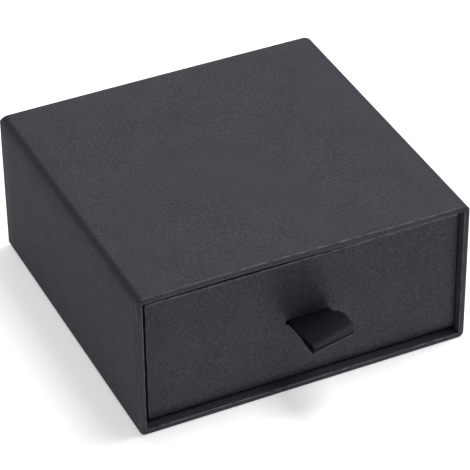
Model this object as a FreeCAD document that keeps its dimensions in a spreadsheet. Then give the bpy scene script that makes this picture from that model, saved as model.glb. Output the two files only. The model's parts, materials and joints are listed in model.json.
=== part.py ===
import FreeCAD, Part
import os
import re
import Sketcher

# A rigid gift box of the matchbox kind: a covered greyboard sleeve, open at the front and closed
# at the back, a covered greyboard drawer that slides out of it, and a ribbon loop to pull it by.
# Millimetres. The origin is the centre of the sleeve's underside, +Z is up and -Y is the mouth.

SIZES = {
    # the sleeve's outside
    "sleeve_width": 92.0,
    "sleeve_depth": 90.0,
    "sleeve_height": 42.0,
    "sleeve_fold": 1.6,        # outside radius of the scored folds along the four long edges
    # what the box is made of
    "sleeve_board": 1.2,
    "tray_board": 1.2,
    "wrap_paper": 0.16,
    "liner_paper": 0.12,
    "tape_paper": 0.1,
    # how far the covering paper of the sleeve turns over
    "mouth_turn_in": 15.0,
    "back_turn_over": 12.0,
    "glue_flap": 14.0,         # the flap under the box, from the left side
    "flap_inset": 2.0,         # how far the last flap stops short of the left side
    "back_sheet_inset": 2.0,
    # gummed tape over the joints of the board
    "tape_leg": 10.0,
    "tape_space": 1.0,         # between the back tape and the glue flap
    "stay_leg": 12.0,
    "stay_space": 1.0,         # between a corner stay and the drawer's rim
    # how the drawer lies in the sleeve
    "left_gap": 1.9,           # the drawer has slack, and lies against the right side
    "right_gap": 0.3,
    "floor_gap": 0.3,
    "roof_gap": 2.0,
    "stop_gap": 0.3,
    "front_recess": 2.4,
    # the drawer
    "tray_fold": 1.6,          # outside radius of the folds round its base
    "rim_turn_in": 15.0,
    "liner_drop": 3.0,         # from the rim down to the edge of the wall liner
    # the ribbon and its slit
    "ribbon_width": 11.6,
    "ribbon_thick": 0.25,
    "ribbon_shift": 1.8,       # of the slit and the ribbon, to the right of the middle
    "slit_rise": 18.1,         # from the drawer's underside to the middle of the slit
    "slit_play": 0.6,          # at each end of the slit
    "slit_height": 1.5,
    "tail_length": 12.0,
    # the loop, seen from the side: out from the pivot line and up from the slit
    "pivot_gap": 0.5,          # from the drawer's front to the line that the loop swings about
    "loop_length": 13.3,
    "loop_skew": 0.4,          # how much further the right edge reaches
    "layer_gap": 0.1,          # between the two layers where they leave the slit
    "fold_gap": 1.1,           # between them at the fold
    "left_crown": 0.6,
    "left_lift": 1.05,
    "right_crown": 4.2,
    "right_lift": 4.35,
}

UNDERSIDE = "0"    # the height of the plane that the box stands on

# Faces and edges that several pieces share. A name that ends in x is a half width.
PLACES = {
    "sleeve_x": "sleeve_width / 2",
    "mouth_y": "-sleeve_depth / 2",
    "back_y": "sleeve_depth / 2",
    # the board of the sleeve, as one block under the paper
    "core_x": "sleeve_x - wrap_paper",
    "core_front": "mouth_y + wrap_paper",
    "core_back": "back_y - 2 * wrap_paper",
    "core_low": "wrap_paper",
    "core_high": "sleeve_height - wrap_paper",
    "core_fold": "sleeve_fold - wrap_paper",
    # its inner faces
    "bore_x": "core_x - sleeve_board",
    "bore_back": "core_back - sleeve_board",
    "bore_low": "core_low + sleeve_board",
    "bore_high": "core_high - sleeve_board",
    "turn_in_end": "mouth_y + mouth_turn_in",
    # the outside of the drawer
    "tray_left": "wrap_paper + left_gap - bore_x",
    "tray_right": "bore_x - wrap_paper - right_gap",
    "tray_front": "mouth_y + front_recess",
    "tray_back": "bore_back - liner_paper - stop_gap",
    "tray_low": "bore_low + wrap_paper + floor_gap",
    "tray_rim": "bore_high - wrap_paper - roof_gap",
    # the board of the drawer, as one block under the paper
    "frame_left": "tray_left + wrap_paper",
    "frame_right": "tray_right - wrap_paper",
    "frame_front": "tray_front + wrap_paper",
    "frame_back": "tray_back - wrap_paper",
    "frame_low": "tray_low + wrap_paper",
    "frame_rim": "tray_rim - wrap_paper",
    "frame_fold": "tray_fold - wrap_paper",
    # its inner faces
    "well_left": "frame_left + tray_board",
    "well_right": "frame_right - tray_board",
    "well_front": "frame_front + tray_board",
    "well_back": "frame_back - tray_board",
    "well_low": "frame_low + tray_board",
    "turn_in_low": "tray_rim - rim_turn_in",
    # the paper that lines it, which lies over the turned-in rim and over the ribbon's tails
    "liner_left": "well_left + wrap_paper",
    "liner_right": "well_right - wrap_paper",
    "tail_face": "well_front + wrap_paper",
    "liner_front": "tail_face + ribbon_thick",
    "liner_back": "well_back - wrap_paper",
    "liner_rim": "tray_rim - liner_drop",
    # the ribbon
    "slit_z": "tray_low + slit_rise",
    "slit_low": "slit_z - slit_height / 2",
    "slit_high": "slit_z + slit_height / 2",
    "ribbon_left": "ribbon_shift - ribbon_width / 2",
    "ribbon_right": "ribbon_shift + ribbon_width / 2",
    "pivot_y": "tray_front - pivot_gap",
}

document = FreeCAD.newDocument("drawer_gift_box")
sheet = document.addObject("Spreadsheet::Sheet", "Dims")


def fill_sheet():
    """Put the driving sizes in the sheet as numbers, and the shared places below them as formulas."""
    cells = {name: str(value) for name, value in SIZES.items()}
    cells.update({name: "=" + formula for name, formula in PLACES.items()})
    for row, (name, content) in enumerate(cells.items(), start=1):
        sheet.set(f"A{row}", name)
        sheet.set(f"B{row}", content)
        sheet.setAlias(f"B{row}", name)
    document.recompute()


def dims(expression):
    """Write an expression of plain names so that it reads the sheet."""
    return re.sub(r"[a-z_]+", lambda name: "Dims." + name.group(0), expression)


def bind(item, **settings):
    """Bind properties to expressions. Two underscores stand for the dot in a property's name."""
    for name, expression in settings.items():
        item.setExpression(name.replace("__", "."), dims(expression))


def box(name, x, y, z):
    """A block between two planes on each axis."""
    item = document.addObject("Part::Box", name)
    for size, place, (low, high) in (("Length", "x", x), ("Width", "y", y), ("Height", "z", z)):
        item.setExpression(size, dims(f"({high}) - ({low})"))
        item.setExpression(f"Placement.Base.{place}", dims(low))
    return item


def outline(body, name, role, *loops):
    """A sketch on one of the body's own planes. Each loop is a list of corners held by expressions."""
    sketch = body.newObject("Sketcher::SketchObject", name)
    plane = next(feature for feature in body.Origin.OriginFeatures if feature.Role == role)
    sketch.AttachmentSupport = [(plane, "")]
    sketch.MapMode = "FlatFace"
    for corners in loops:
        points = [FreeCAD.Vector(value(across), value(up), 0) for across, up in corners]
        first = sketch.GeometryCount
        for index, point in enumerate(points):
            sketch.addGeometry(Part.LineSegment(point, points[(index + 1) % len(points)]))
        for index, corner in enumerate(corners):
            edge = first + index
            following = first + (index + 1) % len(corners)
            sketch.addConstraint(Sketcher.Constraint("Coincident", edge, 2, following, 1))
            for kind, size, expression in zip(("DistanceX", "DistanceY"), points[index], corner):
                number = sketch.addConstraint(Sketcher.Constraint(kind, -1, 1, edge, 1, size))
                sketch.setExpression(f"Constraints[{number}]", dims(expression))
    return sketch


def rectangle(x, y):
    """The corners of a rectangle between two places across and two up."""
    return [(x[0], y[0]), (x[1], y[0]), (x[1], y[1]), (x[0], y[1])]


def pad(name, role, length, *loops):
    """A body with one sketch padded to a length."""
    body = document.addObject("PartDesign::Body", name)
    sketch = outline(body, name + "_outline", role, *loops)
    feature = body.newObject("PartDesign::Pad", name + "_pad")
    feature.Profile = sketch
    bind(feature, Length=length)
    return body


def rounded_block(name, x, y, z, radius, picks):
    """A padded block between two planes on each axis, with the edges that picks chooses rounded."""
    body = pad(name, "XY_Plane", f"({z[1]}) - ({z[0]})", rectangle(x, y))
    bind(body, Placement__Base__z=z[0])
    document.recompute()
    block = body.Tip
    edges = [f"Edge{number}" for number, edge in enumerate(block.Shape.Edges, start=1) if picks(edge)]
    feature = body.newObject("PartDesign::Fillet", name + "_folds")
    feature.Base = (block, edges)
    bind(feature, Radius=radius)
    return body


def along_y(edge):
    """Whether an edge runs from front to back, as the sleeve's four folds do."""
    return edge.BoundBox.XLength + edge.BoundBox.ZLength < edge.BoundBox.YLength


def round_base(edge):
    """Whether an edge lies in the plane of the block's sketch, as the folds round a base do."""
    return abs(edge.CenterOfMass.z) < Part.Precision.confusion()


def joined(kind, name, first, second):
    """One boolean of two shapes, which keeps no seam between faces in one plane."""
    item = document.addObject(kind, name)
    item.Base = first
    item.Tool = second
    item.Refine = True
    return item


def cut(name, base, *tools):
    """What is left of a shape when each tool has been taken from it."""
    for number, tool in enumerate(tools, start=1):
        last = number == len(tools)
        base = joined("Part::Cut", name if last else f"{name}_cut_{number}", base, tool)
    return base


def common(name, base, tool):
    """The part of a shape that lies inside a tool."""
    return joined("Part::Common", name, base, tool)


def fuse(name, *shapes):
    """One shape of several that touch, or one group of several that don't."""
    item = document.addObject("Part::MultiFuse", name)
    item.Shapes = list(shapes)
    item.Refine = True
    return item


def value(expression):
    """The number that an expression of the sheet's names comes to."""
    return float(sheet.evalExpression(expression))


# The spans of the main blocks, each from low to high.
CORE = {"x": ("-core_x", "core_x"), "y": ("core_front", "core_back"), "z": ("core_low", "core_high")}
BORE = {"x": ("-bore_x", "bore_x"), "z": ("bore_low", "bore_high")}
FRAME = {
    "x": ("frame_left", "frame_right"),
    "y": ("frame_front", "frame_back"),
    "z": ("frame_low", "frame_rim"),
}
WELL = {"x": ("well_left", "well_right"), "y": ("well_front", "well_back")}


def inside(span, margin):
    """A span made smaller by a margin at both ends."""
    return f"{span[0]} + {margin}", f"{span[1]} - {margin}"


def sleeve_core():
    """The board of the sleeve as one block, rounded along its folds."""
    return rounded_block("sleeve_core", CORE["x"], CORE["y"], CORE["z"], "core_fold", along_y)


def sleeve_tapes(core):
    """Gummed tape, let into the board by its own thickness, over the seam and the back edges."""
    bed = rounded_block(
        "sleeve_tape_bed",
        inside(CORE["x"], "tape_paper"),
        ("core_front", "core_back - tape_paper"),
        inside(CORE["z"], "tape_paper"),
        "core_fold - tape_paper",
        along_y,
    )
    seam_strip = box(
        "sleeve_seam_strip",
        ("core_x - tape_leg", "core_x"),
        ("core_front", "core_back - tape_leg"),
        ("core_low", "core_low + tape_leg"),
    )
    seam = cut("sleeve_seam_tape", common("sleeve_seam_strip_folded", core, seam_strip), bed)

    back_y = ("core_back - tape_leg", "core_back")
    upright = inside(CORE["z"], "core_fold")
    left = box("sleeve_back_left_strip", ("-core_x", "tape_leg - core_x"), back_y, upright)
    right = box("sleeve_back_right_strip", ("core_x - tape_leg", "core_x"), back_y, upright)
    sides = cut("sleeve_back_side_tapes", fuse("sleeve_back_side_strips", left, right), bed)

    across = ("glue_flap + tape_space - core_x", "core_x - glue_flap - tape_space")
    strip = box("sleeve_back_bottom_strip", across, back_y, ("core_low", "core_low + tape_leg"))
    bottom = cut("sleeve_back_bottom_tape", strip, bed)
    return [seam, sides, bottom]


def sleeve_glue_flap():
    """The flap of the wrap that the last flap is glued on."""
    return box(
        "sleeve_glue_flap",
        ("sleeve_fold - sleeve_x", "glue_flap - sleeve_x"),
        CORE["y"],
        ("core_low", "core_low + wrap_paper"),
    )


def sleeve_panels(core, tapes, glue_flap):
    """The five panels of the board. Top and bottom lie over the sides, and the back is between them."""
    spans = {
        "top": (CORE["x"], CORE["y"], ("bore_high", "core_high")),
        "bottom": (CORE["x"], CORE["y"], ("core_low", "bore_low")),
        "left": (("-core_x", "-bore_x"), CORE["y"], BORE["z"]),
        "right": (("bore_x", "core_x"), CORE["y"], BORE["z"]),
        "back": (BORE["x"], ("bore_back", "core_back"), BORE["z"]),
    }
    seam, sides, bottom = tapes
    tools = {
        "top": [],
        "bottom": [seam, bottom, glue_flap],
        "left": [sides],
        "right": [seam, sides],
        "back": [sides, bottom],
    }
    panels = []
    for side, (x, y, z) in spans.items():
        name = f"sleeve_{side}_panel"
        if tools[side]:
            slab = box(name + "_slab", x, y, z)
            panels.append(cut(name, common(name + "_blank", core, slab), *tools[side]))
        else:
            panels.append(common(name, core, box(name + "_slab", x, y, z)))
    return panels


def sleeve_paper(core, glue_flap):
    """The covering paper, its last flap, the linings and the sheet on the back."""
    skin = rounded_block(
        "sleeve_skin",
        ("-sleeve_x", "sleeve_x"),
        ("mouth_y", "core_back + wrap_paper"),
        (UNDERSIDE, "sleeve_height"),
        "sleeve_fold",
        along_y,
    )
    flap = box(
        "sleeve_underside_flap",
        ("flap_inset - sleeve_x", "sleeve_x - sleeve_fold"),
        CORE["y"],
        (UNDERSIDE, "wrap_paper"),
    )
    mouth = box("sleeve_mouth", BORE["x"], ("mouth_y", "core_front"), BORE["z"])
    window = box(
        "sleeve_back_window",
        ("back_turn_over - sleeve_x", "sleeve_x - back_turn_over"),
        ("core_back", "core_back + wrap_paper"),
        ("back_turn_over", "sleeve_height - back_turn_over"),
    )
    cover = cut("sleeve_cover", skin, core, mouth, window, flap)
    turn_in = pad(
        "sleeve_turn_in",
        "XZ_Plane",
        "mouth_turn_in",
        rectangle(BORE["x"], BORE["z"]),
        rectangle(inside(BORE["x"], "wrap_paper"), inside(BORE["z"], "wrap_paper")),
    )
    bind(turn_in, Placement__Base__y="turn_in_end")
    wrap = fuse("sleeve_wrap", cover, turn_in, glue_flap)

    liner = pad(
        "sleeve_liner",
        "XZ_Plane",
        "bore_back - turn_in_end",
        rectangle(BORE["x"], BORE["z"]),
        rectangle(inside(BORE["x"], "liner_paper"), inside(BORE["z"], "liner_paper")),
    )
    bind(liner, Placement__Base__y="bore_back")
    back_liner = box(
        "sleeve_back_liner",
        inside(BORE["x"], "liner_paper"),
        ("bore_back - liner_paper", "bore_back"),
        inside(BORE["z"], "liner_paper"),
    )
    back_sheet = box(
        "sleeve_back_sheet",
        ("back_sheet_inset - sleeve_x", "sleeve_x - back_sheet_inset"),
        ("core_back + wrap_paper", "back_y"),
        ("back_sheet_inset", "sleeve_height - back_sheet_inset"),
    )
    return [wrap, flap, liner, back_liner, back_sheet]


def tray_stays():
    """Four gummed stays round the drawer's upright corners, let into the board by their thickness."""
    across = {
        "left": ("frame_left", "frame_left + stay_leg"),
        "right": ("frame_right - stay_leg", "frame_right"),
    }
    along = {
        "front": ("frame_front", "frame_front + stay_leg"),
        "back": ("frame_back - stay_leg", "frame_back"),
    }
    height = ("frame_low + tray_fold", "frame_rim - stay_space")
    columns = []
    for side, x in across.items():
        for end, y in along.items():
            columns.append(box(f"tray_{end}_{side}_column", x, y, height))
    bed = box("tray_stay_bed", inside(FRAME["x"], "tape_paper"), inside(FRAME["y"], "tape_paper"), height)
    return cut("tray_corner_stays", fuse("tray_columns", *columns), bed)


def tray_boards(core, stays, slit):
    """The five boards of the drawer. Front and back run across, the sides and the base lie between."""
    spans = {
        "base": (WELL["x"], WELL["y"], ("frame_low", "well_low")),
        "front": (FRAME["x"], ("frame_front", "well_front"), FRAME["z"]),
        "back": (FRAME["x"], ("well_back", "frame_back"), FRAME["z"]),
        "left": (("frame_left", "well_left"), WELL["y"], FRAME["z"]),
        "right": (("well_right", "frame_right"), WELL["y"], FRAME["z"]),
    }
    boards = []
    for side, (x, y, z) in spans.items():
        name = f"tray_{side}_board"
        slab = box(name + "_slab", x, y, z)
        if side == "base":
            boards.append(common(name, core, slab))
        else:
            tools = [stays, slit] if side == "front" else [stays]
            boards.append(cut(name, common(name + "_blank", core, slab), *tools))
    return boards


def tray_paper(core, slit):
    """The covering paper of the drawer and the paper that lines it."""
    skin = rounded_block(
        "tray_skin",
        ("tray_left", "tray_right"),
        ("tray_front", "tray_back"),
        ("tray_low", "tray_rim"),
        "tray_fold",
        round_base,
    )
    mouth = box("tray_mouth", WELL["x"], WELL["y"], ("frame_rim", "tray_rim"))
    cover = cut("tray_cover", skin, core, mouth, slit)
    turn_in = pad(
        "tray_turn_in",
        "XY_Plane",
        "rim_turn_in",
        rectangle(WELL["x"], WELL["y"]),
        rectangle(inside(WELL["x"], "wrap_paper"), inside(WELL["y"], "wrap_paper")),
    )
    bind(turn_in, Placement__Base__z="turn_in_low")
    wrap = fuse("tray_wrap", cover, turn_in)

    across = ("liner_left", "liner_right")
    along = ("liner_front", "liner_back")
    wall_liner = pad(
        "tray_wall_liner",
        "XY_Plane",
        "liner_rim - well_low",
        rectangle(across, along),
        rectangle(inside(across, "liner_paper"), inside(along, "liner_paper")),
    )
    bind(wall_liner, Placement__Base__z="well_low")
    floor_liner = box(
        "tray_floor_liner",
        inside(across, "liner_paper"),
        inside(along, "liner_paper"),
        ("well_low", "well_low + liner_paper"),
    )
    return [wrap, wall_liner, floor_liner]


def ribbon_slit():
    """The slit through the drawer's front."""
    return box(
        "ribbon_slit",
        ("ribbon_left - slit_play", "ribbon_right + slit_play"),
        ("tray_front", "well_front"),
        ("slit_low", "slit_high"),
    )


def ribbon_tails():
    """Both layers through the slit, one tail glued upwards and one downwards inside the front."""
    stem_low, stem_high = "slit_z - ribbon_thick", "slit_z + ribbon_thick"
    tail_low, tail_high = "slit_z - tail_length", "slit_z + tail_length"
    corners = [
        ("tray_front", stem_low),
        ("tail_face", stem_low),
        ("tail_face", tail_low),
        ("liner_front", tail_low),
        ("liner_front", tail_high),
        ("tail_face", tail_high),
        ("tail_face", stem_high),
        ("tray_front", stem_high),
    ]
    tails = pad("ribbon_tails", "YZ_Plane", "ribbon_width", corners)
    bind(tails, Placement__Base__x="ribbon_left")
    return tails


def loop_edge(x, length, crown, lift):
    """The edge of the folded ribbon on one side: out on top, round the fold and back below."""
    pivot_y, slit_z, thick = value("pivot_y"), value("slit_z"), value("ribbon_thick")
    root = thick + value("layer_gap") / 2
    fold = thick + value("fold_gap") / 2
    middle = (root + fold) / 2

    def point(out, up):
        return FreeCAD.Vector(x, pivot_y - out, slit_z + up)

    def layers(inset):
        above = [
            point(0, root - inset),
            point(length / 2, crown + middle - inset),
            point(length, lift + fold - inset),
        ]
        tip = point(length + fold - inset, lift)
        below = [
            point(length, lift - fold + inset),
            point(length / 2, crown - middle + inset),
            point(0, inset - root),
        ]
        return above, [above[-1], tip, below[0]], below

    outside, within = layers(0), layers(thick)
    edges = [Part.Arc(*points).toShape() for points in outside]
    edges.append(Part.makeLine(outside[-1][-1], within[-1][-1]))
    edges.extend(Part.Arc(*reversed(points)).toShape() for points in reversed(within))
    edges.append(Part.makeLine(within[0][0], outside[0][0]))
    return Part.Wire(edges)


def ribbon_loop():
    """The loop, lofted between its two edges, because it's twisted: the right edge arches up."""
    edges = []
    for side, length in (("left", "loop_length"), ("right", "loop_length + loop_skew")):
        across, crown, lift = value(f"ribbon_{side}"), value(f"{side}_crown"), value(f"{side}_lift")
        edges.append(loop_edge(across, value(length), crown, lift))
    loop = document.addObject("Part::Feature", "ribbon_loop")
    loop.Shape = Part.makeLoft(edges, True, True)
    loop.Placement = FreeCAD.Placement()
    return loop


def sleeve():
    """Every piece that stays still."""
    core = sleeve_core()
    tapes = sleeve_tapes(core)
    glue_flap = sleeve_glue_flap()
    return sleeve_panels(core, tapes, glue_flap) + tapes + sleeve_paper(core, glue_flap)


def drawer():
    """Every piece that slides, but for the loop that hangs from it."""
    core = rounded_block("tray_core", FRAME["x"], FRAME["y"], FRAME["z"], "frame_fold", round_base)
    stays = tray_stays()
    slit = ribbon_slit()
    return tray_boards(core, stays, slit) + [stays] + tray_paper(core, slit) + [ribbon_tails()]


def checked(nodes):
    """Stop if any object failed to build, or any piece has no sound solid."""
    for item in document.Objects:
        if {"Invalid", "Error"} & set(item.State):
            raise RuntimeError(f"{item.Label} did not build")
    for node in nodes:
        if node.Shape.isNull() or not node.Shape.isValid() or not node.Shape.Solids:
            raise RuntimeError(f"{node.Label} has no sound solid")
    return nodes


def export(nodes):
    """Write each piece to its own file and list them."""
    os.makedirs("parts", exist_ok=True)
    for node in nodes:
        node.Shape.exportStep(f"parts/{node.Label}.step")
        print(f"{node.Label:26s} solids {len(node.Shape.Solids)}  volume {node.Shape.Volume:10.2f} mm3")


fill_sheet()
pieces = sleeve() + drawer() + [ribbon_loop()]
document.recompute()
export(checked(pieces))
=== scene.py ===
import json
import math

import bmesh
import bpy
from mathutils import Matrix, Vector


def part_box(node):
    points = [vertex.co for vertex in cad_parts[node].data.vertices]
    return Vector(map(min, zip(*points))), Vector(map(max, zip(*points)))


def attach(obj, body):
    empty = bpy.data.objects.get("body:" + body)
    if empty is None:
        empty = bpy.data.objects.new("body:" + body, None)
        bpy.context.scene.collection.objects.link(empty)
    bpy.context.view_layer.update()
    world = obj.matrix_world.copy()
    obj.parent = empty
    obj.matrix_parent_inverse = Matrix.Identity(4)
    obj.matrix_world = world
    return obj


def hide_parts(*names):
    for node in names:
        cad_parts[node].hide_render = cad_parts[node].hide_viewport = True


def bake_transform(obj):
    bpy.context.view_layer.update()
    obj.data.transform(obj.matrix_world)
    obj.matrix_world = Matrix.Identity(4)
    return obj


# A rigid gift box of the matchbox kind: a sleeve and a drawer of greyboard covered in uncoated
# charcoal paper, and a loop of black satin ribbon to pull the drawer by. Metres, as in the frame.
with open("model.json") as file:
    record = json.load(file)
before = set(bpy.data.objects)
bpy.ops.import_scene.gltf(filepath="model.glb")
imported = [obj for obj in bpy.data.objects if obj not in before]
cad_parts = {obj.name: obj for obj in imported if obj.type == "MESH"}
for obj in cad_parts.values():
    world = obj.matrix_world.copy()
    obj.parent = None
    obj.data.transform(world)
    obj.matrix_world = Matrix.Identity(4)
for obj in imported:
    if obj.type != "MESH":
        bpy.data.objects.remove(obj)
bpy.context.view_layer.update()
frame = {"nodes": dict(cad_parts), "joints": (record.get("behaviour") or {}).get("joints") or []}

MM = 0.001
X, Y, Z = 0, 1, 2
NEAR = 0.001 * MM           # two places that are closer are the same
ALIGNED = 0.999             # two directions whose cosine is larger are the same
FACING = 0.9                # and a curved surface whose cosine is larger faces that way
SHARP = math.radians(40)    # an edge between flat faces that turn by more is sharp
PAPER_CREASE = 35           # an edge of paper or board that turns by more degrees is shaded sharp
RIBBON_CREASE = 60          # and one of the ribbon

# ---------------------------------------------------------------------------------------------
# Places, read from the frame
# ---------------------------------------------------------------------------------------------

SLEEVE_LOW, SLEEVE_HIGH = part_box("sleeve_wrap")
BACK_SHEET_LOW, BACK_SHEET_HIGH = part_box("sleeve_back_sheet")
UNDER_FLAP_LOW, UNDER_FLAP_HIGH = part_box("sleeve_underside_flap")
TOP_PANEL_LOW, TOP_PANEL_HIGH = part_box("sleeve_top_panel")
LINER_LOW, LINER_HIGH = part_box("sleeve_liner")
DRAWER_LOW, DRAWER_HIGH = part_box("tray_wrap")
WALL_LINER_LOW, WALL_LINER_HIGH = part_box("tray_wall_liner")
FRONT_BOARD_LOW, FRONT_BOARD_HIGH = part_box("tray_front_board")
TAILS_LOW, TAILS_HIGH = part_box("ribbon_tails")
SWING = next(joint for joint in frame["joints"] if joint["name"] == "ribbon_swing")
PIVOT = Vector(SWING["pos_m"])

PAPER = UNDER_FLAP_HIGH.z - UNDER_FLAP_LOW.z           # thickness of the cover paper
SLEEVE_RIM = SLEEVE_HIGH.x - LINER_HIGH.x + PAPER      # board and two layers of paper
SLEEVE_TURN_IN = LINER_LOW.y - SLEEVE_LOW.y
FRONT_BOARD = FRONT_BOARD_HIGH.y - FRONT_BOARD_LOW.y   # thickness of the board
DRAWER_RIM = FRONT_BOARD + 2 * PAPER
RIBBON_ROOM = TAILS_HIGH.y - FRONT_BOARD_HIGH.y - PAPER     # for a tail, behind the front

# Sizes that the frame's boxes don't give: the sleeve's paper
FOLD = 1.6 * MM             # radius of the scored folds under the sleeve
TOP_FOLD = 2.3 * MM         # how far the upper folds reach over the top, and how far they fall
TOP_FOLD_FALL = 1.3 * MM
TURN_OVER = 12 * MM         # how far the paper is turned over on to the back
LAP_STEP = 0.06 * MM        # width of the step beside the last flap under the box
LAP_RISE = 0.8 * PAPER      # how much higher the paper lies beside that flap
FACING_EDGE = 0.05 * MM     # how far the back sheet's edge is rounded
FACING_SINK = 0.6 * PAPER   # how far the sheet sinks where it lies on bare board
CROWN = 0.2 * MM            # how far the top swells in its middle
CROWN_AT_ENDS = 0.35        # share of it that is left at the mouth and at the back
CROWN_OF_SIDES = 0.5        # share of it that the sides have
BOW = 0.72 * MM             # how far the top has risen at the mouth
BOW_MIDDLE = -19 * MM       # where it has risen most, and how far from there it is level again
BOW_REACH = 55 * MM
LEFT_STAND_OFF = 0.35 * MM  # of the turned paper from the board at the mouth, left and above
TOP_STAND_OFF = 0.25 * MM
STAND_OFF_DEPTH = 2 * MM    # how far in it is pressed flat again

# The drawer's paper, its slit and its ribbon
BASE_FOLD = 1.1 * MM        # radius of the scored folds round the drawer's base
RIM_TURN_IN = 15 * MM       # how far the paper is turned down inside
SLIT_HEIGHT = 1.5 * MM      # of the slit in the board
SLIT_PLAY = 0.6 * MM        # beside the ribbon, at each end of the slit
LOOSE = 0.03 * MM           # between the paper in the slit and the board
SLIT_LEFT = TAILS_LOW.x - SLIT_PLAY + LOOSE
SLIT_RIGHT = TAILS_HIGH.x + SLIT_PLAY - LOOSE
SLIT_BOTTOM = PIVOT.z - SLIT_HEIGHT / 2 + LOOSE
SLIT_TOP = PIVOT.z + SLIT_HEIGHT / 2 - LOOSE
RIBBON = 0.8 * RIBBON_ROOM  # thickness of the ribbon
COLUMNS = 10                # of faces across the ribbon
ROWS_IN_SPAN = 6            # of faces between two points along it
TAIL_BEND = 0.4 * MM        # how far in front of the inner wall a tail begins to turn
TAIL_TURN = 0.5 * MM        # how far up or down it has turned, and where it lies straight
TAIL_STRAIGHT = 3 * MM

# Both papers
ARRIS = 0.26 * MM           # radius over a cut edge of the board
LINING = 0.12 * MM          # thickness of the lining paper
EASE = 1.2 * MM             # width of the slope where pasted paper sinks

# Scuffing, with a painted highlight: how far down the drawer's rim it goes, and how many times
# as much as the other edges the rim, the lower lip of the mouth and the sleeve's upright edges get
RIM_SCUFF_AND_HIGHLIGHT_DEPTH = 0.7 * MM
RIM_SCUFF_AND_HIGHLIGHT = 1.6
LOWER_LIP_SCUFF_AND_HIGHLIGHT = 1.5
UPRIGHT_SCUFF_AND_HIGHLIGHT = 0.25


# ---------------------------------------------------------------------------------------------
# Materials
# ---------------------------------------------------------------------------------------------

def linear(colour):
    """The linear colour of an sRGB hex value."""
    channels = [int(colour[start:start + 2], 16) / 255 for start in (1, 3, 5)]
    return [c / 12.92 if c <= 0.04045 else ((c + 0.055) / 1.055) ** 2.4 for c in channels] + [1.0]


# Sockets that share a name with another are told apart by number: those of a sum, and those of a
# mix of two colours
FIRST, SECOND, THIRD = 0, 1, 2
FACTOR, COLOUR_A, COLOUR_B, MIXED = 0, 6, 7, 2


def add_node(tree, kind, settings=None, links=None):
    """Add a node with its settings, which are inputs or properties, and its links."""
    node = tree.nodes.new(kind)
    for name, value in (settings or {}).items():
        if isinstance(name, int) or name in node.inputs:
            node.inputs[name].default_value = value
        else:
            setattr(node, name, value)
    for name, output in (links or {}).items():
        tree.links.new(output, node.inputs[name])
    return node


def new_material(name):
    """An empty material and its node tree."""
    material = bpy.data.materials.new(name)
    material.use_nodes = True
    material.node_tree.nodes.clear()
    return material, material.node_tree


def uncoated_paper(name, deep, pale, scuff_and_highlight_colour, fold_shade_colour, fibre, scuff_and_highlight_share):
    """Uncoated paper, dyed through and felt finished: matt, with a fine grain of fibres."""
    material, tree = new_material(name)
    place = add_node(tree, "ShaderNodeTexCoord").outputs
    # the fibres are about 0.03 mm across, and are drawn over ten times as coarse so that they show
    fibres = add_node(
        tree, "ShaderNodeTexNoise",
        {"Scale": 1 / fibre, "Detail": 3.0, "Roughness": 0.65},
        {"Vector": place["Object"]},
    )
    # the pulp lies thicker and thinner in soft clouds
    clouds = add_node(
        tree, "ShaderNodeTexNoise",
        {"Scale": 1 / (9 * MM), "Detail": 2.0, "Roughness": 0.5},
        {"Vector": place["Object"]},
    )
    grain = add_node(
        tree, "ShaderNodeMath",
        {"operation": "MULTIPLY_ADD", SECOND: 0.14},
        {FIRST: clouds.outputs["Fac"], THIRD: fibres.outputs["Fac"]},
    )
    spread = add_node(
        tree, "ShaderNodeMapRange",
        {"From Min": 0.34, "From Max": 0.80},
        {"Value": grain.outputs["Value"]},
    )
    tint = add_node(
        tree, "ShaderNodeMix",
        {"data_type": "RGBA", COLOUR_A: linear(deep), COLOUR_B: linear(pale)},
        {FACTOR: spread.outputs["Result"]},
    )
    # over a cut edge it is paler in patches: its fibres scuff, and a painted highlight is added
    turned = add_node(tree, "ShaderNodeAttribute", {"attribute_name": "scuffed_and_lit"})
    patches = add_node(
        tree, "ShaderNodeTexNoise",
        {"Scale": 1 / (3 * MM), "Detail": 3.0, "Roughness": 0.6},
        {"Vector": place["Object"]},
    )
    rub_and_highlight_levels = add_node(
        tree, "ShaderNodeMapRange",
        {"From Min": 0.35, "From Max": 0.65, "To Min": 0.1 * scuff_and_highlight_share, "To Max": 0.8 * scuff_and_highlight_share},
        {"Value": patches.outputs["Fac"]},
    )
    scuff_and_highlight_mask = add_node(
        tree, "ShaderNodeMath",
        {"operation": "MULTIPLY"},
        {FIRST: turned.outputs["Fac"], SECOND: rub_and_highlight_levels.outputs["Result"]},
    )
    worn_and_lit = add_node(
        tree, "ShaderNodeMix",
        {"data_type": "RGBA", COLOUR_B: linear(scuff_and_highlight_colour)},
        {FACTOR: scuff_and_highlight_mask.outputs["Value"], COLOUR_A: tint.outputs[MIXED]},
    )
    # over a scored fold it is pressed hard and less matt, and deeper in colour: painted shade
    pressed = add_node(tree, "ShaderNodeAttribute", {"attribute_name": "pressed"})
    folded = add_node(
        tree, "ShaderNodeMix",
        {"data_type": "RGBA", COLOUR_B: linear(fold_shade_colour)},
        {FACTOR: pressed.outputs["Fac"], COLOUR_A: worn_and_lit.outputs[MIXED]},
    )
    matt = add_node(
        tree, "ShaderNodeMapRange",
        {"To Min": 0.85, "To Max": 0.6},
        {"Value": pressed.outputs["Fac"]},
    )
    bump = add_node(
        tree, "ShaderNodeBump",
        {"Strength": 0.6, "Distance": 0.03 * MM},
        {"Height": fibres.outputs["Fac"]},
    )
    paper = add_node(
        tree, "ShaderNodeBsdfPrincipled",
        {"Specular IOR Level": 0.12},
        {"Base Color": folded.outputs[MIXED], "Roughness": matt.outputs["Result"],
         "Normal": bump.outputs["Normal"]},
    )
    add_node(tree, "ShaderNodeOutputMaterial", {}, {"Surface": paper.outputs["BSDF"]})
    return material


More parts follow.
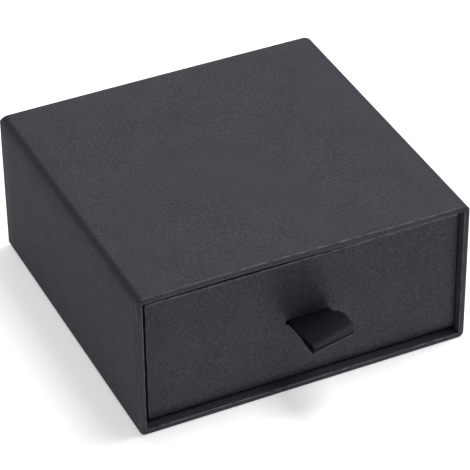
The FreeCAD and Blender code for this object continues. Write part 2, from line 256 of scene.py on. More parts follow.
def greyboard(name):
    """Greyboard, pressed from recycled pulp: dull grey brown with dark and pale flecks."""
    material, tree = new_material(name)
    place = add_node(tree, "ShaderNodeTexCoord").outputs
    pulp = add_node(
        tree, "ShaderNodeTexNoise",
        {"Scale": 1 / (0.9 * MM), "Detail": 4.0, "Roughness": 0.7},
        {"Vector": place["Object"]},
    )
    base = add_node(
        tree, "ShaderNodeMix",
        {"data_type": "RGBA", COLOUR_A: linear("#7C756C"), COLOUR_B: linear("#A39B90")},
        {FACTOR: pulp.outputs["Fac"]},
    )
    flecks = add_node(
        tree, "ShaderNodeTexVoronoi",
        {"Scale": 1 / (2.2 * MM), "Randomness": 1.0},
        {"Vector": place["Object"]},
    )
    fleck = add_node(
        tree, "ShaderNodeMapRange",
        {"From Min": 0.10, "From Max": 0.16, "To Min": 0.7, "To Max": 0.0},
        {"Value": flecks.outputs["Distance"]},
    )
    specked = add_node(
        tree, "ShaderNodeMix",
        {"data_type": "RGBA", COLOUR_B: linear("#4A463F")},
        {FACTOR: fleck.outputs["Result"], COLOUR_A: base.outputs[MIXED]},
    )
    bump = add_node(
        tree, "ShaderNodeBump",
        {"Strength": 0.5, "Distance": 0.05 * MM},
        {"Height": pulp.outputs["Fac"]},
    )
    board = add_node(
        tree, "ShaderNodeBsdfPrincipled",
        {"Roughness": 0.95, "Specular IOR Level": 0.2},
        {"Base Color": specked.outputs[MIXED], "Normal": bump.outputs["Normal"]},
    )
    add_node(tree, "ShaderNodeOutputMaterial", {}, {"Surface": board.outputs["BSDF"]})
    return material


def gummed_kraft_tape(name):
    """Gummed kraft tape, machine glazed: brown, with long fibres and a slight shine."""
    material, tree = new_material(name)
    place = add_node(tree, "ShaderNodeTexCoord").outputs
    stretched = add_node(
        tree, "ShaderNodeMapping",
        {"Scale": (1.0, 1.0, 0.25)},
        {"Vector": place["Object"]},
    )
    fibres = add_node(
        tree, "ShaderNodeTexNoise",
        {"Scale": 1 / (0.6 * MM), "Detail": 4.0, "Roughness": 0.65},
        {"Vector": stretched.outputs["Vector"]},
    )
    tint = add_node(
        tree, "ShaderNodeMix",
        {"data_type": "RGBA", COLOUR_A: linear("#8A6745"), COLOUR_B: linear("#B08A60")},
        {FACTOR: fibres.outputs["Fac"]},
    )
    bump = add_node(
        tree, "ShaderNodeBump",
        {"Strength": 0.4, "Distance": 0.02 * MM},
        {"Height": fibres.outputs["Fac"]},
    )
    tape = add_node(
        tree, "ShaderNodeBsdfPrincipled",
        {"Roughness": 0.6, "Specular IOR Level": 0.4},
        {"Base Color": tint.outputs[MIXED], "Normal": bump.outputs["Normal"]},
    )
    add_node(tree, "ShaderNodeOutputMaterial", {}, {"Surface": tape.outputs["BSDF"]})
    return material


def bands(spacing):
    """The scale of a wave texture whose bands are a spacing apart."""
    return math.tau / 20 / spacing


def woven_satin(name):
    """Polyester satin ribbon, woven with long warp floats: near black, with a soft silky shine."""
    material, tree = new_material(name)
    place = add_node(tree, "ShaderNodeTexCoord").outputs
    # the threads are about 0.1 mm apart, and are drawn three times as coarse so that they show
    threads = add_node(
        tree, "ShaderNodeTexWave",
        {"wave_type": "BANDS", "bands_direction": "X", "Scale": bands(0.3 * MM), "Distortion": 0.6,
         "Detail": 2.0, "Detail Scale": 2.0},
        {"Vector": place["UV"]},
    )
    picks = add_node(
        tree, "ShaderNodeTexWave",
        {"wave_type": "BANDS", "bands_direction": "Y", "Scale": bands(0.45 * MM), "Distortion": 0.9,
         "Detail": 2.0, "Detail Scale": 2.0},
        {"Vector": place["UV"]},
    )
    weave = add_node(
        tree, "ShaderNodeMath",
        {"operation": "MULTIPLY_ADD", SECOND: 0.6},
        {FIRST: picks.outputs["Fac"], THIRD: threads.outputs["Fac"]},
    )
    tint = add_node(
        tree, "ShaderNodeMix",
        {"data_type": "RGBA", COLOUR_A: linear("#0F0F13"), COLOUR_B: linear("#1D1D22")},
        {FACTOR: weave.outputs["Value"]},
    )
    bump = add_node(
        tree, "ShaderNodeBump",
        {"Strength": 0.5, "Distance": 0.03 * MM},
        {"Height": weave.outputs["Value"]},
    )
    satin = add_node(
        tree, "ShaderNodeBsdfPrincipled",
        {"Roughness": 0.5, "Specular IOR Level": 0.13},
        {"Base Color": tint.outputs[MIXED], "Normal": bump.outputs["Normal"]},
    )
    add_node(tree, "ShaderNodeOutputMaterial", {}, {"Surface": satin.outputs["BSDF"]})
    return material


# the paler edge colour is scuffing and a painted highlight; the deeper fold colour is painted shade
COVER_PAPER = uncoated_paper(
    "charcoal_cover_paper",
    deep="#2A292E", pale="#4C4B52", scuff_and_highlight_colour="#74737A", fold_shade_colour="#1F1E23",
    fibre=0.42 * MM, scuff_and_highlight_share=1.0,
)
LINING_PAPER = uncoated_paper(
    "charcoal_lining_paper",
    deep="#28272C", pale="#444349", scuff_and_highlight_colour="#58575D", fold_shade_colour="#1F1E23",
    fibre=0.4 * MM, scuff_and_highlight_share=0.3,
)
GREYBOARD = greyboard("pressed_greyboard")
KRAFT_TAPE = gummed_kraft_tape("gummed_kraft_tape")
SATIN = woven_satin("woven_satin_ribbon")


def dress(piece, material):
    """Give a piece its one material."""
    piece.data.materials.clear()
    piece.data.materials.append(material)


# ---------------------------------------------------------------------------------------------
# Modelling by hand
# ---------------------------------------------------------------------------------------------

def add_block(name, low, high):
    """A block between two corners, with its place in its mesh, open for editing."""
    bpy.ops.object.select_all(action="DESELECT")
    bpy.ops.mesh.primitive_cube_add(size=1, location=(low + high) / 2, scale=high - low)
    bpy.ops.object.transform_apply(location=True, rotation=False, scale=True)
    piece = bpy.context.object
    piece.name = piece.data.name = name
    bpy.ops.object.mode_set(mode="EDIT")
    bpy.ops.mesh.select_all(action="DESELECT")
    return piece


def reopen(piece):
    """Go back to editing a piece, with nothing selected."""
    bpy.context.view_layer.objects.active = piece
    bpy.ops.object.mode_set(mode="EDIT")
    bpy.ops.mesh.select_all(action="DESELECT")


def middle(item):
    """The middle of an edge or face."""
    return sum((vertex.co for vertex in item.verts), Vector()) / len(item.verts)


def pick(piece, kind, wanted):
    """Select the edges or faces of the open piece that pass a test, and nothing else."""
    bpy.ops.mesh.select_mode(type=kind)
    bpy.ops.mesh.select_all(action="DESELECT")
    shape = bmesh.from_edit_mesh(piece.data)
    for item in list(shape.edges if kind == "EDGE" else shape.faces):
        if wanted(item):
            item.select_set(True)
    shape.select_flush_mode()
    bmesh.update_edit_mesh(piece.data)


def faces_to(way):
    """A test for faces that look one way."""
    return lambda face: face.normal.dot(Vector(way)) > ALIGNED


def runs_along(axis):
    """A test for edges that run along one axis."""
    def wanted(edge):
        span = edge.verts[1].co - edge.verts[0].co
        return abs(span[axis]) > ALIGNED * span.length
    return wanted


def sharp_at(axis, place):
    """A test for the sharp edges that lie in one plane."""
    def wanted(edge):
        flat = all(abs(vertex.co[axis] - place) < NEAR for vertex in edge.verts)
        return flat and edge.calc_face_angle(0.0) > SHARP
    return wanted


def slice_at(axis, places):
    """Cut the open piece at planes across one axis."""
    for place in places:
        normal, point = Vector(), Vector()
        normal[axis], point[axis] = 1.0, place
        bpy.ops.mesh.select_mode(type="EDGE")
        bpy.ops.mesh.select_all(action="SELECT")
        bpy.ops.mesh.bisect(plane_co=point, plane_no=normal)


def evenly(low, high, parts):
    """Places that divide a span into equal parts, without its ends."""
    return [low + (high - low) * step / parts for step in range(1, parts)]


def bevel(radius, segments, profile=0.5):
    """Round the selected edges. A profile under a half is flatter than a quarter circle."""
    bpy.ops.mesh.bevel(
        offset=radius, segments=segments, profile=profile, affect="EDGES", clamp_overlap=False)


def close(piece):
    """Join points that cuts have left in one place, and leave edit mode."""
    bpy.ops.mesh.select_mode(type="VERT")
    bpy.ops.mesh.select_all(action="SELECT")
    bpy.ops.mesh.remove_doubles(threshold=3 * NEAR)
    bpy.ops.mesh.dissolve_degenerate(threshold=NEAR)
    bpy.ops.object.mode_set(mode="OBJECT")


def modify(piece, kind, **settings):
    """Add a modifier and apply it."""
    bpy.ops.object.select_all(action="DESELECT")
    bpy.context.view_layer.objects.active = piece
    piece.select_set(True)
    modifier = piece.modifiers.new(kind.lower(), kind)
    for name, value in settings.items():
        setattr(modifier, name, value)
    bpy.ops.object.modifier_apply(modifier=modifier.name)


def swell(piece, height, weight, way="NORMAL"):
    """Push the surface out by a height times a weight that depends on the place."""
    group = piece.vertex_groups.new(name="swell")
    for vertex in piece.data.vertices:
        group.add([vertex.index], max(0.0, min(1.0, weight(vertex.co, vertex.normal))), "REPLACE")
    modify(piece, "DISPLACE", strength=height, mid_level=0.0, direction=way, vertex_group="swell")
    piece.vertex_groups.clear()


def smooth(piece, degrees):
    """Shade smooth, but for edges sharper than an angle."""
    bpy.ops.object.select_all(action="DESELECT")
    bpy.context.view_layer.objects.active = piece
    piece.select_set(True)
    bpy.ops.object.shade_smooth_by_angle(angle=math.radians(degrees))


def give(piece, material, slot, body, *nodes):
    """Dress a piece and let it stand for CAD nodes, on one body if it has one; its slot is not
    used.
    """
    dress(piece, material)
    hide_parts(*nodes)
    if body:
        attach(piece, body)


def mark(piece, kind, share):
    """Write each point's share of scuffing and painted highlight, or pressing and painted shade."""
    marks = piece.data.attributes.new(kind, "FLOAT", "POINT")
    for vertex in piece.data.vertices:
        marks.data[vertex.index].value = share(vertex.co)


def within(place, start, end):
    """Whether a place lies between two others, and not at either."""
    return min(start, end) + NEAR < place < max(start, end) - NEAR


# ---------------------------------------------------------------------------------------------
# Sleeve
# ---------------------------------------------------------------------------------------------

def arch(place, low, high):
    """One in the middle of a span, falling to nothing at its ends."""
    share = (2 * place - low - high) / (high - low)
    return 1 - share * share


def bow(place, normal):
    """How far a place has risen with the warped top, as a share of the most, at the mouth."""
    across = max(-1.0, min(1.0, (place.x - BOW_MIDDLE) / BOW_REACH))
    from_back = max(0.0, (SLEEVE_HIGH.y - place.y) / (SLEEVE_HIGH.y - SLEEVE_LOW.y))
    from_table = max(0.0, place.z / SLEEVE_HIGH.z)
    return math.cos(math.pi / 2 * across) ** 2 * from_back ** 1.5 * from_table


def raise_top(piece):
    """Let a piece of the sleeve rise with the warp of its top."""
    swell(piece, BOW, bow, "Z")


def fold_top_edges(piece, top):
    """Round the open piece's two long upper edges, further over the top than down the sides."""
    pick(piece, "EDGE", lambda edge: runs_along(Y)(edge) and middle(edge).z > top - NEAR)
    bevel(TOP_FOLD, segments=8, profile=0.4)
    bpy.ops.transform.resize(value=(1, 1, TOP_FOLD_FALL / TOP_FOLD), center_override=(0, 0, top))


def crown(place, normal):
    """How far the sleeve's top and sides swell, as a share of the most."""
    low, high = SLEEVE_LOW, SLEEVE_HIGH
    lengthwise = CROWN_AT_ENDS + (1 - CROWN_AT_ENDS) * arch(place.y, low.y, high.y)
    if normal.z > FACING:
        return lengthwise * arch(place.x, low.x, high.x)
    if abs(normal.x) > FACING and abs(place.x) > high.x - PAPER:
        return CROWN_OF_SIDES * lengthwise * arch(place.z, low.z, high.z)
    return 0.0


def sleeve_scuffs_and_highlights(place):
    """Scuffing and painted highlight on the sleeve: only over the board's cut edges, front and
    back.
    """
    low, high = SLEEVE_LOW, SLEEVE_HIGH
    if not (within(place.y, low.y, low.y + ARRIS) or within(place.y, high.y - ARRIS, high.y)):
        return 0.0
    lip = low.z + SLEEVE_RIM
    if within(place.z, lip - ARRIS, lip + 2 * NEAR):
        return LOWER_LIP_SCUFF_AND_HIGHLIGHT
    upright = abs(place.x) > high.x - ARRIS - NEAR and place.z < high.z - TOP_FOLD_FALL
    return UPRIGHT_SCUFF_AND_HIGHLIGHT if upright else 1.0


def sleeve_pressing_and_fold_shade(place):
    """Pressing and painted shade on the sleeve: only over the two upper folds, most in the middle.
    """
    if place.z <= SLEEVE_HIGH.z - TOP_FOLD_FALL - NEAR:
        return 0.0
    beside = min(place.x - SLEEVE_LOW.x, SLEEVE_HIGH.x - place.x)
    return max(0.0, arch(beside / TOP_FOLD, 0.0, 1.0))


def loosen_at_mouth(piece):
    """Let the turned-in paper stand off the board: it isn't drawn tight over the cut edge."""
    low, high = SLEEVE_LOW, SLEEVE_HIGH
    left, right = low.x + SLEEVE_RIM, high.x - SLEEVE_RIM
    bottom, top = low.z + SLEEVE_RIM, high.z - SLEEVE_RIM
    reach = ARRIS + 2 * NEAR

    def inside(place):
        return (place.y < low.y + STAND_OFF_DEPTH - NEAR
                and within(place.x, left - reach, right + reach)
                and within(place.z, bottom - reach, top + reach))

    def at_left(place, normal):
        return float(inside(place) and place.x < left + 2 * NEAR)

    def above(place, normal):
        return float(inside(place) and place.z > top - 2 * NEAR)

    swell(piece, LEFT_STAND_OFF, at_left, "X")
    swell(piece, -TOP_STAND_OFF, above, "Z")


def sleeve_covering():
    """One sheet of paper round the sleeve, turned in at the mouth and over on to the back."""
    low, high = SLEEVE_LOW, SLEEVE_HIGH
    piece = add_block("sleeve_covering", low, high)
    pick(piece, "FACE", faces_to((0, -1, 0)))
    bpy.ops.mesh.inset(thickness=SLEEVE_RIM, use_boundary=True)
    bpy.ops.mesh.extrude_region_move(TRANSFORM_OT_translate={"value": (0, SLEEVE_TURN_IN, 0)})
    bpy.ops.mesh.delete(type="FACE")
    pick(piece, "FACE", faces_to((0, 1, 0)))
    bpy.ops.mesh.inset(thickness=TURN_OVER, use_boundary=True)
    bpy.ops.mesh.delete(type="FACE")

    fold_top_edges(piece, high.z)
    pick(piece, "EDGE", lambda edge: runs_along(Y)(edge) and middle(edge).z < low.z + NEAR)
    bevel(FOLD, segments=8)
    for end in (low.y, high.y):
        pick(piece, "EDGE", lambda edge: sharp_at(Y, end)(edge) and not edge.is_boundary)
        bevel(ARRIS, segments=4)

    # cuts across the top, clear of its folds, and others, so that the panels can swell
    clear = 3 * MM
    slice_at(X, evenly(low.x + clear, high.x - clear, parts=16))
    slice_at(X, [UNDER_FLAP_LOW.x - LAP_STEP, UNDER_FLAP_LOW.x])
    slice_at(Y, [low.y + STAND_OFF_DEPTH] + evenly(low.y, high.y, parts=16))
    slice_at(Z, evenly(low.z, high.z, parts=6))
    # beside the last flap, under the box, the paper lies higher by nearly one layer
    pick(piece, "FACE", lambda face: faces_to((0, 0, -1))(face)
         and middle(face).x < UNDER_FLAP_LOW.x - LAP_STEP)
    bpy.ops.transform.translate(value=(0, 0, LAP_RISE))
    close(piece)

    # paler cut edges: scuffing and a painted highlight
    mark(piece, "scuffed_and_lit", sleeve_scuffs_and_highlights)
    # deeper upper folds: painted shade, with pressing that makes the paper less matt
    mark(piece, "pressed", sleeve_pressing_and_fold_shade)
    swell(piece, CROWN, crown)
    loosen_at_mouth(piece)
    raise_top(piece)
    modify(piece, "SOLIDIFY", thickness=PAPER, offset=-1.0)
    smooth(piece, PAPER_CREASE)
    give(piece, COVER_PAPER, "wrap_paper", "sleeve", "sleeve_wrap", "sleeve_underside_flap")


def sleeve_top_board():
    """The board of the sleeve's top, warped up at the mouth."""
    low, high = TOP_PANEL_LOW, TOP_PANEL_HIGH
    piece = add_block("sleeve_top_board", low - Vector((0, 0, TOP_FOLD)), high)
    fold_top_edges(piece, high.z)
    # the block was deeper than the board, so that there was room to round the folds
    bpy.ops.mesh.select_all(action="SELECT")
    bpy.ops.mesh.bisect(
        plane_co=low, plane_no=(0, 0, 1), clear_inner=True, use_fill=True, threshold=NEAR)
    slice_at(X, evenly(low.x, high.x, parts=12))
    slice_at(Y, evenly(low.y, high.y, parts=8))
    close(piece)
    raise_top(piece)
    smooth(piece, PAPER_CREASE)
    give(piece, GREYBOARD, "greyboard", "sleeve", "sleeve_top_panel")


def sleeve_lining():
    """The paper band that lines the four walls of the sleeve behind the turned-in cover."""
    low, high = LINER_LOW, LINER_HIGH
    piece = add_block("sleeve_lining", low, high)
    pick(piece, "FACE", lambda face: abs(face.normal.y) > ALIGNED)
    bpy.ops.mesh.delete(type="FACE")
    slice_at(X, evenly(low.x, high.x, parts=12))
    slice_at(Y, evenly(low.y, high.y, parts=8))
    slice_at(Z, evenly(low.z, high.z, parts=4))
    close(piece)
    raise_top(piece)
    modify(piece, "SOLIDIFY", thickness=LINING, offset=-1.0)
    smooth(piece, PAPER_CREASE)
    give(piece, LINING_PAPER, "liner_paper", "sleeve", "sleeve_liner")


def sleeve_back_facing():
    """The sheet pasted on the back, which sinks a little where it lies on the bare board."""
    piece = add_block("sleeve_back_facing", BACK_SHEET_LOW, BACK_SHEET_HIGH)
    pick(piece, "EDGE", sharp_at(Y, BACK_SHEET_HIGH.y))
    bevel(FACING_EDGE, segments=2)
    left, right = SLEEVE_LOW.x + TURN_OVER, SLEEVE_HIGH.x - TURN_OVER
    bottom, top = SLEEVE_LOW.z + TURN_OVER, SLEEVE_HIGH.z - TURN_OVER
    slice_at(X, [left, left + EASE, right - EASE, right])
    slice_at(Z, [bottom, bottom + EASE, top - EASE, top])
    pick(piece, "FACE", lambda face: faces_to((0, 1, 0))(face)
         and within(middle(face).x, left + EASE, right - EASE)
         and within(middle(face).z, bottom + EASE, top - EASE))
    bpy.ops.transform.translate(value=(0, -FACING_SINK, 0))
    close(piece)
    smooth(piece, PAPER_CREASE)
    give(piece, COVER_PAPER, "wrap_paper", "sleeve", "sleeve_back_sheet")


# ---------------------------------------------------------------------------------------------
# Drawer
# ---------------------------------------------------------------------------------------------

def round_by_weight(piece, radius, segments, weigh):
    """Round edges by their own share of a radius, in one step so that the corners meet."""
    weights = piece.data.attributes.new("bevel_weight_edge", "FLOAT", "EDGE")
    points = piece.data.vertices
    for edge in piece.data.edges:
        start, end = [points[index].co for index in edge.vertices]
        weights.data[edge.index].value = weigh(start, end)
    modify(piece, "BEVEL",
           width=radius, segments=segments, limit_method="WEIGHT", use_clamp_overlap=False)


def drawer_edge_share(start, end):
    """What share of the base's radius an edge of the drawer's paper has."""
    in_line_x, in_line_y = abs(start.x - end.x) < NEAR, abs(start.y - end.y) < NEAR
    outer_upright = in_line_x and in_line_y and abs(start.z - end.z) > RIM_TURN_IN + NEAR
    rim = min(start.z, end.z) > DRAWER_HIGH.z - NEAR and (in_line_x or in_line_y)
    if max(start.z, end.z) < DRAWER_LOW.z + NEAR:
        return 1.0
    return ARRIS / BASE_FOLD if rim or outer_upright else 0.0


def drawer_scuffs_and_highlights(place):
    """Scuffing and painted highlight on the drawer: its rim rubbing on the sleeve, its corners
    touched.
    """
    low, high = DRAWER_LOW, DRAWER_HIGH
    if within(place.z, high.z - RIM_SCUFF_AND_HIGHLIGHT_DEPTH, high.z):
        return RIM_SCUFF_AND_HIGHLIGHT * (place.z - high.z + RIM_SCUFF_AND_HIGHLIGHT_DEPTH) / RIM_SCUFF_AND_HIGHLIGHT_DEPTH
    at_side = min(abs(place.x - low.x), abs(place.x - high.x)) < ARRIS - NEAR
    at_end = min(abs(place.y - low.y), abs(place.y - high.y)) < ARRIS - NEAR
    return float(at_side and at_end)


def open_slit(piece):
    """Take out the front's face at the ribbon's slit, and push the paper back through the slit."""
    pick(piece, "FACE", lambda face: faces_to((0, -1, 0))(face)
         and middle(face).y < DRAWER_LOW.y + NEAR
         and within(middle(face).x, SLIT_LEFT, SLIT_RIGHT)
         and within(middle(face).z, SLIT_BOTTOM, SLIT_TOP))
    bpy.ops.mesh.delete(type="FACE")
    pick(piece, "EDGE", lambda edge: edge.is_boundary and middle(edge).y < DRAWER_LOW.y + NEAR)
    bpy.ops.mesh.extrude_region_move(TRANSFORM_OT_translate={"value": (0, FRONT_BOARD, 0)})


def drawer_covering():
    """The paper under and round the drawer, over its rims and turned in, with the ribbon's slit."""
    low, high = DRAWER_LOW, DRAWER_HIGH
    piece = add_block("drawer_covering", low, high)
    pick(piece, "FACE", faces_to((0, 0, 1)))
    bpy.ops.mesh.inset(thickness=DRAWER_RIM, use_boundary=True)
    bpy.ops.mesh.extrude_region_move(TRANSFORM_OT_translate={"value": (0, 0, -RIM_TURN_IN)})
    bpy.ops.mesh.delete(type="FACE")
    close(piece)
    round_by_weight(piece, BASE_FOLD, segments=6, weigh=drawer_edge_share)

    reopen(piece)
    slice_at(X, [SLIT_LEFT, SLIT_RIGHT])
    slice_at(X, evenly(low.x + BASE_FOLD, high.x - BASE_FOLD, parts=8))
    slice_at(Y, evenly(low.y + BASE_FOLD, high.y - BASE_FOLD, parts=8))
    slice_at(Z, [SLIT_BOTTOM, SLIT_TOP, high.z - RIM_SCUFF_AND_HIGHLIGHT_DEPTH])
    slice_at(Z, evenly(low.z + BASE_FOLD, high.z - BASE_FOLD, parts=4))
    open_slit(piece)
    close(piece)
    # paler rim and corners: scuffing and a painted highlight
    mark(piece, "scuffed_and_lit", drawer_scuffs_and_highlights)
    modify(piece, "SOLIDIFY", thickness=PAPER, offset=-1.0)
    smooth(piece, PAPER_CREASE)
    give(piece, COVER_PAPER, "wrap_paper", "drawer", "tray_wrap")


def drawer_wall_lining():
    """The band that lines the drawer's walls, and stands out over the ribbon's tails."""
    low, high = WALL_LINER_LOW, WALL_LINER_HIGH
    piece = add_block("drawer_wall_lining", low, high)
    pick(piece, "FACE", lambda face: abs(face.normal.z) > ALIGNED)
    bpy.ops.mesh.delete(type="FACE")
    left, right, bottom, top = TAILS_LOW.x, TAILS_HIGH.x, TAILS_LOW.z, TAILS_HIGH.z
    slice_at(X, [left - EASE, left, right, right + EASE] + evenly(low.x, high.x, parts=6))
    slice_at(Z, [bottom - EASE, bottom, top, top + EASE])
    slice_at(Y, evenly(low.y, high.y, parts=6))
    close(piece)

    def sunk(place, normal):
        beside = max(left - place.x, place.x - right, bottom - place.z, place.z - top, 0.0)
        return min(1.0, beside / EASE) if place.y < low.y + NEAR else 0.0

    swell(piece, -RIBBON, sunk, "Y")
    modify(piece, "SOLIDIFY", thickness=LINING, offset=-1.0)
    smooth(piece, PAPER_CREASE)
    give(piece, LINING_PAPER, "liner_paper", "drawer", "tray_wall_liner")


# ---------------------------------------------------------------------------------------------
# Ribbon
# ---------------------------------------------------------------------------------------------

def along(points, count):
    """The place that lies a count of points, whole or not, along the smooth curve through them."""
    index = min(int(count), len(points) - 2)
    t = count - index
    before, start = points[max(index - 1, 0)], points[index]
    end, after = points[index + 1], points[min(index + 2, len(points) - 1)]
    return 0.5 * (
        2 * start
        + (end - before) * t
        + (2 * before - 5 * start + 4 * end - after) * t * t
        + (3 * start - before - 3 * end + after) * t * t * t
    )


# The loop from below the slit, round its fold and back above the slit. Each row has the ribbon's
# left and its right edge, and for each how far in front of the origin and how high its middle is,
# in millimetres.
LOOP = [
    ((42.60, 19.50), (42.60, 20.05)),
    ((44.80, 19.74), (44.60, 20.45)),
    ((47.50, 20.08), (47.20, 21.05)),
    ((50.30, 20.05), (50.00, 21.55)),
    ((53.00, 19.80), (52.80, 21.80)),
    ((55.20, 19.84), (55.00, 22.00)),
    ((56.50, 20.06), (56.00, 22.16)),
    # the pressed fold has opened: a lip, a crease above it, and the bend on to the upper layer
    ((57.02, 20.30), (56.48, 22.40)),
    ((57.16, 20.80), (56.74, 22.90)),
    ((56.70, 21.34), (56.38, 23.40)),
    ((57.14, 21.66), (57.36, 24.20)),
    ((56.70, 21.90), (56.90, 24.60)),
    ((55.60, 21.98), (55.70, 24.94)),
    ((53.80, 21.72), (54.00, 25.02)),
    ((51.60, 21.30), (52.40, 25.02)),
    ((49.20, 20.86), (50.60, 24.70)),
    ((46.60, 20.67), (48.50, 23.78)),
    ((44.60, 20.62), (46.30, 22.36)),
    ((43.30, 20.50), (44.00, 21.10)),
    ((42.60, 20.38), (42.60, 20.48)),
]


def ribbon_edge(side, across):
    """The middle line of one edge of the whole ribbon, from one tail's end to the other's."""
    loop = [Vector((across, -row[side][0] * MM, row[side][1] * MM)) for row in LOOP]
    wall = TAILS_HIGH.y - RIBBON_ROOM / 2

    def tail(root, end, up):
        return [
            Vector((across, wall, end)),
            Vector((across, wall, root.z + up * TAIL_STRAIGHT)),
            Vector((across, wall, root.z + up * TAIL_TURN)),
            Vector((across, wall - TAIL_BEND, root.z)),
        ]

    lower, upper = tail(loop[0], TAILS_LOW.z, -1), tail(loop[-1], TAILS_HIGH.z, 1)
    return lower + loop + upper[::-1]


def satin_ribbon():
    """One ribbon: a tail down inside, out through the slit, folded, back in and a tail up."""
    left, right = ribbon_edge(0, TAILS_LOW.x), ribbon_edge(1, TAILS_HIGH.x)
    spans = len(left) - 1
    rows = ROWS_IN_SPAN * spans

    def place(side, count):
        return along(left, count).lerp(along(right, count), side)

    bpy.ops.object.select_all(action="DESELECT")
    bpy.ops.mesh.primitive_grid_add(
        x_subdivisions=COLUMNS, y_subdivisions=rows, size=1, calc_uvs=True)
    piece = bpy.context.object
    piece.name = piece.data.name = "satin_ribbon"
    for vertex in piece.data.vertices:
        vertex.co = place(vertex.co.x + 0.5, (vertex.co.y + 0.5) * spans)
    # the threads of the weave are laid by real lengths along the ribbon
    line = [place(0.5, spans * row / rows) for row in range(rows + 1)]
    reach = [0.0]
    for start, end in zip(line, line[1:]):
        reach.append(reach[-1] + (end - start).length)
    width = TAILS_HIGH.x - TAILS_LOW.x
    for corner in piece.data.uv_layers.active.data:
        corner.uv = (corner.uv.x * width, reach[round(corner.uv.y * rows)])
    modify(piece, "SOLIDIFY", thickness=RIBBON, offset=0.0)
    modify(piece, "SUBSURF", levels=1, render_levels=1)
    smooth(piece, RIBBON_CREASE)
    give(piece, SATIN, "satin_ribbon", None, "ribbon_loop", "ribbon_tails")
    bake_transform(piece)


# ---------------------------------------------------------------------------------------------
# Finishes of the pieces that stay as they are
# ---------------------------------------------------------------------------------------------

def dress_frame():
    """Every board, tape and lining gets its material."""
    for name, node in frame["nodes"].items():
        if name.endswith(("_panel", "_board")):
            dress(node, GREYBOARD)
        elif name.endswith(("_tape", "_tapes", "_stays")):
            dress(node, KRAFT_TAPE)
        elif name.endswith("_liner"):
            dress(node, LINING_PAPER)
        elif name.startswith("ribbon_"):
            dress(node, SATIN)
        else:
            dress(node, COVER_PAPER)


# ---------------------------------------------------------------------------------------------
# Studio
# ---------------------------------------------------------------------------------------------

WHITE_RAYS = ("Is Camera Ray", "Is Glossy Ray", "Is Transmission Ray")
WORLD_LIGHT = 0.02          # strength of the light from all round, beside the seen background's
FLOOR_LIFT = 0.47           # how much the floor shines by itself, to be plain white where it is lit
FLOOR_SIZE = 6.0
FLOOR_GAP = 0.05 * MM       # under the box

# Each lamp's azimuth from the front, round to the right, and its elevation, in degrees, the side of
# its square in metres and its power in watts
LAMP_DISTANCE = 1.2         # from the middle of the box
LAMPS = {
    "top_softbox": (90, 70, 0.6, 9.8),
    "right_softbox": (90, 14, 0.5, 9.4),
    "back_softbox": (180, 65, 0.8, 4.2),
    "left_softbox": (-90, 14, 0.5, 4.2),
    "front_softbox": (30, 14, 0.5, 1.4),
    # through the table, which casts no shadow: the glossy sheet throws a lamp's light back up
    "under_softbox": (22, -42, 0.5, 5.3),
}

# The camera looks a little past the middle of the box: its angles in degrees, its distance, how far
# it stands to the right of the line to the middle and below it, and its lens and film in mm
CAMERA_AZIMUTH, CAMERA_ELEVATION, CAMERA_ROLL = -24.93, 36.15, -0.714
CAMERA_DISTANCE = 691.8 * MM
CAMERA_RIGHT, CAMERA_BELOW = 1.420 * MM, 2.499 * MM
LENS, FILM = 201.7, 36.0
CENTRE = Vector((0, 0, SLEEVE_HIGH.z / 2))


def seen_as_white(tree):
    """One for the rays that should meet a plain white background, nothing for the others."""
    path = add_node(tree, "ShaderNodeLightPath").outputs
    seen = path[WHITE_RAYS[0]]
    for ray in WHITE_RAYS[1:]:
        either = add_node(
            tree, "ShaderNodeMath",
            {"operation": "MAXIMUM"},
            {FIRST: seen, SECOND: path[ray]},
        )
        seen = either.outputs["Value"]
    return seen


def matt_white_sheet(name):
    """A matt white paper sheet, lifted to plain white where the lamps reach it."""
    material, tree = new_material(name)
    matt = add_node(tree, "ShaderNodeBsdfDiffuse", {"Color": linear("#F2F2F2")})
    strength = add_node(
        tree, "ShaderNodeMath",
        {"operation": "MULTIPLY", SECOND: FLOOR_LIFT},
        {FIRST: seen_as_white(tree)},
    )
    lift = add_node(
        tree, "ShaderNodeEmission",
        {"Color": linear("#FFFFFF")},
        {"Strength": strength.outputs["Value"]},
    )
    both = add_node(
        tree, "ShaderNodeAddShader", {},
        {FIRST: matt.outputs["BSDF"], SECOND: lift.outputs["Emission"]},
    )
    add_node(tree, "ShaderNodeOutputMaterial", {}, {"Surface": both.outputs["Shader"]})
    return material


def add_floor():
    """A wide sheet under the box. It takes the box's shadow and casts none of its own."""
    bpy.ops.object.select_all(action="DESELECT")
    bpy.ops.mesh.primitive_plane_add(size=FLOOR_SIZE, location=(0, 0, -FLOOR_GAP))
    bpy.ops.object.transform_apply(location=True, rotation=False, scale=False)
    floor = bpy.context.object
    floor.name = "studio_floor"
    dress(floor, matt_white_sheet("matt_white_sheet"))
    floor.visible_shadow = False


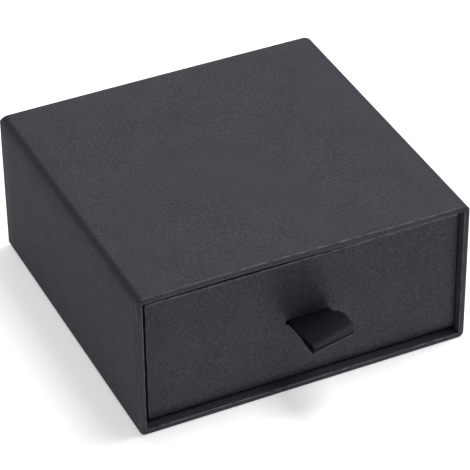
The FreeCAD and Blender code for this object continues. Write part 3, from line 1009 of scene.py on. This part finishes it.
def add_world():
    """A little white light from all round, and a plain white background."""
    world = bpy.data.worlds.new("studio")
    world.use_nodes = True
    tree = world.node_tree
    tree.nodes.clear()
    strength = add_node(
        tree, "ShaderNodeMapRange",
        {"To Min": WORLD_LIGHT, "To Max": 1.0},
        {"Value": seen_as_white(tree)},
    )
    light = add_node(
        tree, "ShaderNodeBackground",
        {"Color": linear("#FFFFFF")},
        {"Strength": strength.outputs["Result"]},
    )
    add_node(tree, "ShaderNodeOutputWorld", {}, {"Surface": light.outputs["Background"]})
    bpy.context.scene.world = world


def outwards(azimuth, elevation):
    """The way from the box towards a place given by two angles in degrees."""
    turn, rise = math.radians(azimuth), math.radians(elevation)
    return Vector((
        math.sin(turn) * math.cos(rise),
        -math.cos(turn) * math.cos(rise),
        math.sin(rise),
    ))


def add_softbox(name, azimuth, elevation, size, power):
    """A square soft lamp that looks at the box."""
    data = bpy.data.lights.new(name, "AREA")
    data.shape, data.size, data.energy = "SQUARE", size, power
    lamp = bpy.data.objects.new(name, data)
    way = outwards(azimuth, elevation)
    lamp.location = CENTRE + way * LAMP_DISTANCE
    lamp.rotation_mode = "QUATERNION"
    lamp.rotation_quaternion = way.to_track_quat("Z", "Y")
    bpy.context.scene.collection.objects.link(lamp)


def add_camera():
    """A long lens, above the front left corner."""
    back = outwards(CAMERA_AZIMUTH, CAMERA_ELEVATION)
    level = back.cross(Vector((0, 0, -1))).normalized()
    upright = back.cross(level)
    roll = math.radians(CAMERA_ROLL)
    right = math.cos(roll) * level + math.sin(roll) * upright
    up = math.cos(roll) * upright - math.sin(roll) * level
    place = CENTRE + back * CAMERA_DISTANCE + right * CAMERA_RIGHT - up * CAMERA_BELOW
    data = bpy.data.cameras.new("camera")
    data.lens, data.sensor_width = LENS, FILM
    data.clip_start, data.clip_end = 0.01, 20.0
    camera = bpy.data.objects.new("camera", data)
    axes = Matrix((right, up, back)).transposed().to_4x4()
    camera.matrix_world = Matrix.Translation(place) @ axes
    bpy.context.scene.collection.objects.link(camera)
    bpy.context.scene.camera = camera


def add_studio():
    """Floor, background, lamps and colour settings."""
    add_floor()
    add_world()
    for name, (azimuth, elevation, size, power) in LAMPS.items():
        add_softbox(name, azimuth, elevation, size, power)
    bpy.context.scene.view_settings.view_transform = "Standard"


add_camera()
sleeve_covering()
sleeve_top_board()
sleeve_lining()
sleeve_back_facing()
drawer_covering()
drawer_wall_lining()
satin_ribbon()
dress_frame()
add_studio()
